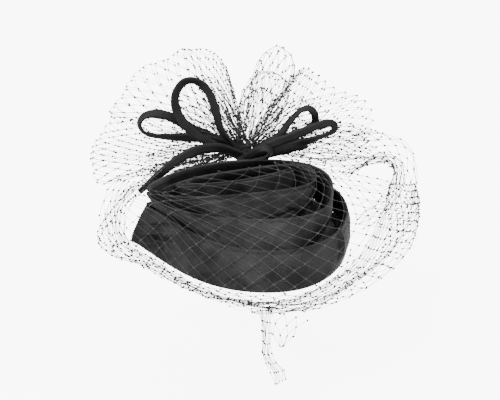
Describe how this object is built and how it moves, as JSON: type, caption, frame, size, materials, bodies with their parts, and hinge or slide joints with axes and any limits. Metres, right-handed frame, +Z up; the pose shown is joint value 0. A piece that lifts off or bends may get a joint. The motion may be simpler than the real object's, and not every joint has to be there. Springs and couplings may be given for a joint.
{
  "type": "fascinator headpiece",
  "caption": "Leaf-shaped pillbox base wound with folded satin bands, a bow of rouleau loops at the back of the crown, net fans behind it, a net veil over the front and a comb inside",
  "frame": {"origin": "centre of the head opening, in the plane of the base's lower edge", "axes": "+Z up through the crown, -Y to the front where the veil falls, +X along the base toward its round end"},
  "size_m": [0.2383, 0.1655, 0.1944],
  "materials": {
    "buckram": "matt stiffened cloth",
    "lining": "fine plain weave",
    "grosgrain": "ribbed ribbon",
    "satin": "matt satin",
    "wire": "cloth covered millinery wire",
    "thread": "wound thread",
    "comb": "satin moulded plastic",
    "rouleau": "satin rouleau",
    "net": "knotted net"
  },
  "bodies": {
    "headpiece": {"foundation_shell": "buckram", "lining": "lining", "headsize_ribbon": "grosgrain", "satin_facing": "satin", "edge_wire": "wire", "crown_tip_cover": "satin", "gather_tie": "thread", "tail_thread": "thread", "comb_tape": "grosgrain", "lower_band": "satin", "middle_band": "satin", "upper_band": "satin", "centre_fold": "satin", "upright_loop": "rouleau", "low_loop": "rouleau", "left_tail": "rouleau", "small_right_loop": "rouleau", "long_right_loop": "rouleau", "right_tail": "rouleau", "knot_arch": "rouleau", "knot_wrap": "rouleau", "veil_left_fan": "net", "veil_left_upper": "net", "veil_back_lobe": "net", "veil_centre_lobe": "net", "veil_right_fan": "net", "veil_right_curl": "net", "veil_right_side": "net", "veil_left_side": "net", "veil_front": "net", "veil_hem": "net"},
    "comb": {"comb": "comb"},
    "veil_tail": {"veil_tail": "net"}
  },
  "joints": [
    {"name": "comb_hinge", "type": "hinge", "parent": "headpiece", "child": "comb", "pos_m": [0.011, -0.039, 0.005], "axis": [1, 0, 0], "range_deg": [-35, 0]},
    {"name": "tail_swing", "type": "hinge", "parent": "headpiece", "child": "veil_tail", "pos_m": [0.022, -0.059, -0.0185], "axis": [1, 0, 0], "range_deg": [-25, 25]}
  ]
}
